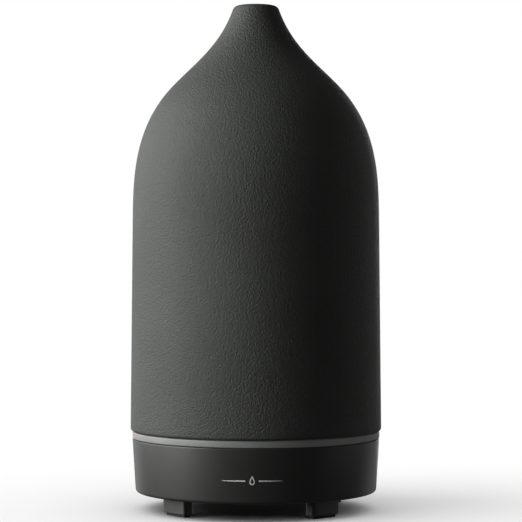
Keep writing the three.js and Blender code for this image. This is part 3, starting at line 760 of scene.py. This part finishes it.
def build_screw(node, head_height, shank_radius, upwards):
    """A pan-head screw with a cross recess and a ridged shank, in the place of a CAD screw."""
    low, high = box(node)
    radius = (high.x - low.x) / 2
    centre = ((high.x + low.x) / 2, (high.y + low.y) / 2)
    length = high.z - low.z
    root, pitch = shank_radius * 0.8, 0.55
    head = [(0, 0), (radius * 0.8, 0), (radius, 0.35), (radius, head_height), (root, head_height)]
    crests = int((length - shank_radius - head_height) / pitch)
    thread = []
    for crest in range(crests):
        z = head_height + (crest + 0.5) * pitch
        thread += [(shank_radius, z), (root, z + pitch / 2)]
    body = revolve(bmesh.new(), rounded(head, [0, 0.4, 0.2, 0.08, 0], 4) + thread + [(0, length)], 40)
    screw = carve(body, prism(bmesh.new(), cross(radius * 0.55, radius * 0.14), -0.5, head_height * 0.6))
    if upwards:
        place = Matrix.Translation((*centre, low.z))
    else:
        place = Matrix.Translation((*centre, high.z)) @ Matrix.Rotation(math.pi, 4, "X")
    screw.transform(place)
    new_piece(f"cross_{node}", screw, "steel", "base", [node])


def build_screws():
    for number in (1, 2, 3):
        build_screw(f"base_screw_{number}", 1.0, 1.3, upwards=True)
        build_screw(f"piezo_screw_{number}", 1.1, 0.9, upwards=True)
    for number in (1, 2):
        build_screw(f"fan_screw_{number}", 1.1, 1.0, upwards=False)
        build_screw(f"board_screw_{number}", 1.1, 1.0, upwards=False)


# ------------------------------------------------------------------ rear buttons and power inlet

def sun(bm, low, high):
    """A disc with eight rays."""
    prism(bm, circle(0.62, sides=32), low, high)
    for step in range(8):
        ray = prism(bmesh.new(), rectangle(0.1, 0.3, 0.06, (0, 1.25)), low, high)
        join(bm, ray, Matrix.Rotation(math.pi * step / 4, 4, "Z"))


def build_buttons():
    """Round buttons with dished faces; the symbol of each stands on the floor of its dish."""
    face = shell_radius(CONTROL_Z) + 1
    flange = shell_radius(CONTROL_Z) - SHELL_WALL - 0.65
    rim, rim_back = BUTTON_RADIUS + BUTTON_FLANGE, flange - 1
    stem, stem_end = 1.5, flange - 2.6
    dish, dish_bottom, dish_floor = 2.5, 1.4, face - 0.35
    points = [(0, stem_end), (stem, stem_end), (stem, rim_back), (rim, rim_back),
              (rim, flange), (BUTTON_RADIUS, flange), (BUTTON_RADIUS, face), (dish, face),
              (dish_bottom, dish_floor), (0, dish_floor)]
    outline = rounded(points, [0, 0.2, 0.1, 0.2, 0.2, 0.1, 0.45, 0.6, 1.2, 0], 6)
    for name, azimuth in BUTTON_AZIMUTHS.items():
        button = revolve(bmesh.new(), outline, 72)
        if name == "mist":
            prism(button, drop(0.95, 1.15, 0), dish_floor - 0.3, dish_floor + 0.14)
        else:
            sun(button, dish_floor - 0.3, dish_floor + 0.14)
        button.transform(pointing_out(azimuth, CONTROL_Z))
        new_piece(f"{name}_cap", button, "base_plastic", f"{name}_key", [f"{name}_button"])


def build_power_inlet():
    """A block with a round nose that fills its opening in the base, and a metal pin in the socket."""
    back, front = jack_low.y, jack_high.y - 2.3
    half_width = jack_high.x
    roof, floor = jack_high.z - CONTROL_Z, jack_low.z - CONTROL_Z
    socket, pin = 2.75, 1.0
    block_outline = rectangle(half_width, (roof - floor) / 2, 0.4, (0, (roof + floor) / 2))
    block = prism(bmesh.new(), block_outline, back, front)
    hole = prism(bmesh.new(), circle(JACK_RADIUS - 0.2), back + 3.5, front + 1)
    inlet = carve(block, hole)
    nose = [(socket, back + 3), (JACK_RADIUS, back + 3), (JACK_RADIUS, jack_high.y), (socket, jack_high.y)]
    join(inlet, revolve(bmesh.new(), rounded(nose, [0.2, 0.2, 0.3, 0.5]), 64))
    inlet.transform(pointing_out(REAR, CONTROL_Z))
    new_piece("power_inlet", inlet, "component", "base", ["dc_jack"], soften=0.2)
    centre_pin = rod(bmesh.new(), pin, back + 2.5, jack_high.y - 1.2, edge=0.45)
    centre_pin.transform(pointing_out(REAR, CONTROL_Z))
    new_piece("power_inlet_pin", centre_pin, "steel", "base")


# ------------------------------------------------------------------ under the cover

def build_water_tank():
    """A round bowl with a fill line, its deck and flange, the air duct, and the posts and studs under it."""
    deck_bottom, deck_top = TANK_FLOOR - TANK_WALL, ring_high.z - 0.05
    outer, deck, flange = TANK_INNER + TANK_WALL, RING_INNER - CLEARANCE, RING_REBATE - CLEARANCE
    flange_bottom = ring_high.z - REBATE_DEPTH + GAP
    ridge = 0.5  # the fill line stands this far out of the wall
    points = [(MIST_HOLE, deck_bottom), (deck, deck_bottom), (deck, flange_bottom), (flange, flange_bottom),
              (flange, deck_top), (outer, deck_top), (outer, TANK_RIM), (TANK_INNER, TANK_RIM),
              (TANK_INNER, FILL_LINE + ridge), (TANK_INNER - ridge, FILL_LINE),
              (TANK_INNER, FILL_LINE - ridge), (TANK_INNER, TANK_FLOOR),
              (MIST_HOLE + 1, TANK_FLOOR)]
    radii = [0.3, 0.2, 0.1, 0.2, 0.2, 0.8, 0.7, 0.7, 0.2, 0.2, 0.2, 2.0, 0.5]
    bowl = revolve(bmesh.new(), rounded(points, radii, 6), 160)
    opening = rectangle(DUCT[0] - 0.3, DUCT[1] - 0.3, 1.2, (0, DUCT_Y))
    tank = carve(bowl, prism(bmesh.new(), opening, deck_bottom - 1, TANK_FLOOR + 1))
    wall = 1.4
    duct_outside = rectangle(*DUCT, 1.8, (0, DUCT_Y))
    duct_inside = rectangle(DUCT[0] - wall, DUCT[1] - wall, 0.8, (0, DUCT_Y))
    tube(tank, duct_outside, duct_inside, deck_bottom, TANK_RIM - 4)
    root = deck_bottom + 1  # where posts and studs start, inside the deck
    post, post_bottom = 3, COLUMN_TOP + CLEARANCE
    stud, stud_bottom = 2.4, deck_bottom - 2.7
    for number in (1, 2, 3):
        rod(tank, post, post_bottom, root, centre_of(f"base_screw_{number}").xy)
        rod(tank, stud, stud_bottom, root, centre_of(f"piezo_screw_{number}").xy)
    new_piece("tank_bowl", tank, "inner_plastic", "base", ["water_tank"], crease=40, soften=0.35)


def build_inner_lid():
    """The splash lid: a skirt over the tank's rim, a dome and a chimney."""
    lid_low, lid_high = box("inner_lid")
    skirt_bottom, chimney_top = lid_low.z, lid_high.z
    wall, seat = 1.4, TANK_RIM + GAP
    skirt_inner, seat_inner = TANK_INNER + TANK_WALL + CLEARANCE, TANK_INNER - 2 * CLEARANCE
    skirt_outer = skirt_inner + wall
    neck_z, neck, chimney = 100, 9, 6.5  # the chimney's foot, its radius there, and its radius at the top
    rise, flare = 14, 4  # the handles of the dome's curve

    def dome(edge_radius, neck_radius):
        edge, top = (edge_radius, seat + wall), (neck_radius, neck_z)
        curve = bezier(edge, (edge_radius, edge[1] + rise), (neck_radius + flare, neck_z - rise), top, 30)
        return [edge] + curve

    outside, inside = dome(skirt_outer, neck), dome(seat_inner, neck - wall)[::-1]
    points = [(skirt_inner, skirt_bottom), (skirt_outer, skirt_bottom), *outside, (chimney, chimney_top),
              (chimney - wall, chimney_top), *inside, (seat_inner, seat), (skirt_inner, seat)]
    radii = [0.4, 0.4] + [0] * len(outside) + [0.5, 0.5] + [0] * len(inside) + [0.3, 0.3]
    lid = revolve(bmesh.new(), rounded(points, radii))
    new_piece("splash_lid", lid, "inner_plastic", "lid", ["inner_lid"])


def build_mist_maker():
    """The brass disc, with its dished middle, and the silicone seal that grips its edge."""
    disc_low, disc_high = box("piezo_disc")
    radius, bottom, top = disc_high.x, disc_low.z, disc_high.z
    dished, dish_floor, dish_floor_z = 7.0, 6.8, top - 0.06
    points = [(0, bottom), (radius, bottom), (radius, top), (dished, top),
              (dish_floor, dish_floor_z), (0, dish_floor_z)]
    disc = revolve(bmesh.new(), rounded(points, [0, 0.2, 0.2, 0.02, 0.02, 0]), 96)
    new_piece("mist_disc", disc, "brass", "base", ["piezo_disc"])
    seal_low, seal_high = box("piezo_seal")
    inner, groove = 8.2, radius + GAP
    groove_low, groove_high = bottom - GAP, top + GAP
    outer, low, high = seal_high.x, seal_low.z, seal_high.z
    points = [(inner, low), (outer, low), (outer, high), (inner, high),
              (inner, groove_high), (groove, groove_high), (groove, groove_low), (inner, groove_low)]
    seal = revolve(bmesh.new(), rounded(points, [0.15, 0.3, 0.3, 0.3, 0.1, 0.1, 0.1, 0.1]), 96)
    new_piece("mist_seal", seal, "silicone", "base", ["piezo_seal"])


# ------------------------------------------------------------------ fan

def build_fan_rotor():
    """A cup-shaped hub with its axle and cambered blades."""
    low, high = box("fan_rotor")
    top, bottom, ceiling = high.z, low.z + 0.6, high.z - 1.2
    hub, hub_inner, tip, axle, blades = 5.6, 4.6, 11.0, 0.75, 7
    points = [(0, low.z), (axle, low.z), (axle, ceiling), (hub_inner, ceiling), (hub_inner, bottom),
              (hub, bottom), (hub, top), (0, top)]
    rotor = revolve(bmesh.new(), rounded(points, [0, 0.15, 0.1, 0.3, 0.2, 0.2, 0.6, 0]), 72)
    for number in range(blades):
        turn = Matrix.Rotation(2 * math.pi * number / blades, 4, "Z")
        join(rotor, fan_blade(hub - 0.4, tip, (top + bottom) / 2), turn)
    rotor.transform(Matrix.Translation((0, FAN_Y, 0)))
    new_piece("fan_wheel", rotor, "inner_plastic", "fan", ["fan_rotor"])


def fan_blade(root, tip, height, pitch=38, half_chord=2.8, camber=0.45, thickness=0.8, steps=12):
    """A cambered blade that reaches out along +X, thin at both edges."""
    bm = bmesh.new()
    lean = math.radians(pitch)
    rows = []
    for share in (0, 0.25, 0.5, 0.75, 1):
        x = root + (tip - root) * share
        row = []
        for side in (1, -1):
            for step in range(steps + 1):
                t = side * (1 - 2 * step / steps)
                lift = camber * (1 - t * t) + side * thickness / 2 * (1 - 0.75 * t * t)
                y = half_chord * t * math.cos(lean) - lift * math.sin(lean)
                z = half_chord * t * math.sin(lean) + lift * math.cos(lean)
                row.append(bm.verts.new((x, y, height + z - 0.2)))
        rows.append(row)
    for row, next_row in zip(rows, rows[1:]):
        for i in range(len(row)):
            j = (i + 1) % len(row)
            bm.faces.new((row[i], row[j], next_row[j], next_row[i]))
    bm.faces.new(rows[0][::-1])
    bm.faces.new(rows[-1])
    return bm


# ------------------------------------------------------------------ parts on the control board

def round_part(node):
    """Where an upright round CAD part stands: a move to its foot, its radius and its height."""
    low, high = box(node)
    place = Matrix.Translation(((low.x + high.x) / 2, (low.y + high.y) / 2, low.z))
    return place, (high.x - low.x) / 2, high.z - low.z


def build_capacitors():
    """Electrolytic cans in a sleeve that curls over the rim, with the vent cross in their tops."""
    for node in ("capacitor_1", "capacitor_2"):
        place, radius, height = round_part(node)
        neck, sunk = radius - 0.25, radius * 0.8
        points = [(0, 0), (radius, 0), (radius, 1.0), (neck, 1.3), (radius, 1.6), (radius, height),
                  (sunk, height), (sunk, height - 0.15), (0, height - 0.15)]
        can = revolve(bmesh.new(), rounded(points, [0, 0.3, 0.1, 0.2, 0.1, 0.4, 0.08, 0.05, 0], 4), 64)
        vent = prism(bmesh.new(), cross(sunk * 0.75, 0.09), height - 0.3, height + 1)
        can = carve(can, vent)
        can.transform(place)
        new_piece(f"can_{node}", can, "component", "base", [node])


def build_inductor():
    """A drum core with its copper winding in view between the flanges."""
    place, radius, height = round_part("inductor")
    flange, waist, turns = height * 0.2, radius * 0.7, 6
    points = [(0, 0), (radius, 0), (radius, flange), (waist, flange), (waist, height - flange),
              (radius, height - flange), (radius, height), (0, height)]
    core = revolve(bmesh.new(), rounded(points, [0, 0.3, 0.15, 0.1, 0.1, 0.15, 0.3, 0], 4), 64)
    core.transform(place)
    new_piece("choke_core", core, "component", "base", ["inductor"])
    slack = 0.01  # keeps each turn of the wire clear of the next
    wire = (height - 2 * flange) / turns / 2 - slack
    winding = bmesh.new()
    for turn in range(turns):
        turn_z = flange + (2 * turn + 1) * (wire + slack)
        revolve(winding, circle(wire, (waist + wire, turn_z), 12), 64)
    winding.transform(place)
    piece = new_piece("choke_winding", winding, "brass", "base")
    piece.data.materials[0] = COPPER


# ------------------------------------------------------------------ CAD pieces that stay

def dress_frame():
    """Gives every CAD node its finish and rounds the edges of those that stay."""
    slots = {row["node"]: row["material_slot"] for row in frame["record"]["subparts"]}
    for name, node in frame["nodes"].items():
        node.data.materials.clear()
        node.data.materials.append(MATERIALS[slots[name]])
        if not name.endswith("_lead"):
            round_edges(node, 0.12)


# ------------------------------------------------------------------ camera, floor and lights

def aim(thing, place, target):
    """Puts a light or a camera in its place and points it at a target."""
    thing.location = place
    thing.rotation_euler = (Vector(target) - Vector(place)).to_track_quat("-Z", "Y").to_euler()


def make_camera():
    """Level, at half the object's height, a little towards the right of the front."""
    distance, height, azimuth, focal = 705 * MM, 88.5 * MM, 1.7, 135.86
    data = bpy.data.cameras.new("camera")
    data.lens = focal
    data.sensor_width = 36
    camera = bpy.data.objects.new("camera", data)
    bpy.context.scene.collection.objects.link(camera)
    beside = 1.81 * MM  # the camera looks this far to the right of the axis
    target = around(azimuth + 90, beside, height)
    aim(camera, around(azimuth, distance, height), target)
    bpy.context.scene.camera = camera


def make_glow(name, strength):
    """A material that gives off white light."""
    material = bpy.data.materials.new(name)
    material.use_nodes = True
    nodes = material.node_tree.nodes
    nodes.remove(nodes["Principled BSDF"])
    emission = nodes.new("ShaderNodeEmission")
    emission.inputs["Strength"].default_value = strength
    material.node_tree.links.new(emission.outputs[0], nodes["Material Output"].inputs["Surface"])
    return material


def stage_object(name, bm, material):
    """Makes an object that belongs to the studio."""
    mesh = bpy.data.meshes.new(name)
    bm.to_mesh(mesh)
    bm.free()
    mesh.materials.append(material)
    made = bpy.data.objects.new(name, mesh)
    bpy.context.scene.collection.objects.link(made)
    return made


def make_floor():
    """A round white floor that gives the object no bounce."""
    bm = bmesh.new()
    bmesh.ops.create_circle(bm, cap_ends=True, segments=96, radius=4.0)
    surface = Surface("floor", (0.8, 0.8, 0.8), 0.9)
    surface.paint(surface.mixed(surface.noise(30, 2), (0.79, 0.79, 0.79), (0.81, 0.81, 0.81)))
    floor = stage_object("floor", bm, surface.material)
    floor.visible_diffuse = False
    floor.visible_glossy = False
    return floor


def make_backdrop():
    """A white dome that only the camera sees."""
    bm = bmesh.new()
    bmesh.ops.create_uvsphere(bm, u_segments=64, v_segments=32, radius=4.0)
    dome = stage_object("backdrop", bm, make_glow("backdrop", 1.0))
    dome.visible_diffuse = False
    dome.visible_glossy = False
    dome.visible_transmission = False
    dome.visible_shadow = False
    dome.visible_volume_scatter = False


def link_light(light, floor, state):
    """Makes a light shine on the floor alone (INCLUDE) or on everything but the floor (EXCLUDE)."""
    ground = bpy.data.collections.new(f"linked_to_{light.name}")
    ground.objects.link(floor)
    ground.collection_objects[0].light_linking.link_state = state
    light.light_linking.receiver_collection = ground


def area_light(name, floor, azimuth, elevation, distance, width, height, power):
    """A softbox at an azimuth and elevation, aimed at the middle of the object and kept off the floor."""
    data = bpy.data.lights.new(name, "AREA")
    data.shape = "RECTANGLE"
    data.size = width
    data.size_y = height
    data.energy = power
    light = bpy.data.objects.new(name, data)
    light.visible_camera = False
    bpy.context.scene.collection.objects.link(light)
    target = Vector((0, 0, 0.09))
    rise = math.radians(elevation)
    away = around(azimuth, math.cos(rise), math.sin(rise))
    aim(light, target + away * distance, target)
    link_light(light, floor, "EXCLUDE")


def floor_light(name, floor, azimuth, elevation, spread, strength):
    """A soft sun that lights nothing but the floor, where the object's shadow shows."""
    data = bpy.data.lights.new(name, "SUN")
    data.angle = math.radians(spread)
    data.energy = strength
    light = bpy.data.objects.new(name, data)
    bpy.context.scene.collection.objects.link(light)
    rise = math.radians(elevation)
    aim(light, around(azimuth, math.cos(rise), math.sin(rise)), (0, 0, 0))
    link_light(light, floor, "INCLUDE")


def make_studio():
    """Large soft lights at the left, weaker ones behind and at the right, and a white floor and backdrop."""
    scene = bpy.context.scene
    scene.view_settings.view_transform = "Standard"
    world = bpy.data.worlds.new("studio")
    scene.world = world
    world.use_nodes = True
    world.node_tree.nodes["Background"].inputs["Color"].default_value = (1, 1, 1, 1)
    world.node_tree.nodes["Background"].inputs["Strength"].default_value = 0.055
    make_backdrop()
    floor = make_floor()
    # azimuth, elevation, distance, width, height and power, then azimuth, elevation, spread and strength
    area_light("left_front", floor, -71, 18, 0.9, 0.5, 0.7, 11.2)
    area_light("left_side", floor, -110, 17, 0.9, 0.5, 0.7, 4.7)
    area_light("left_rim", floor, -145, 2, 1.1, 0.5, 1.0, 1.2)
    area_light("right_rim", floor, 141, 1, 1.1, 0.6, 1.0, 0.7)
    area_light("right_fill", floor, 92, 0, 1.2, 1.0, 0.5, 0.8)
    area_light("rear_fill", floor, 177, 4, 1.2, 0.8, 0.6, 6.0)
    floor_light("sky", floor, 0, 90, 150, 3.1)
    floor_light("side_sky", floor, -72, 40, 60, 1.25)


make_camera()
make_studio()
dress_frame()
build_cover()
build_light_ring()
build_base_shell()
build_ornament()
build_bottom_cover()
build_feet()
build_screws()
build_buttons()
build_power_inlet()
build_water_tank()
build_inner_lid()
build_mist_maker()
build_fan_rotor()
build_capacitors()
build_inductor()
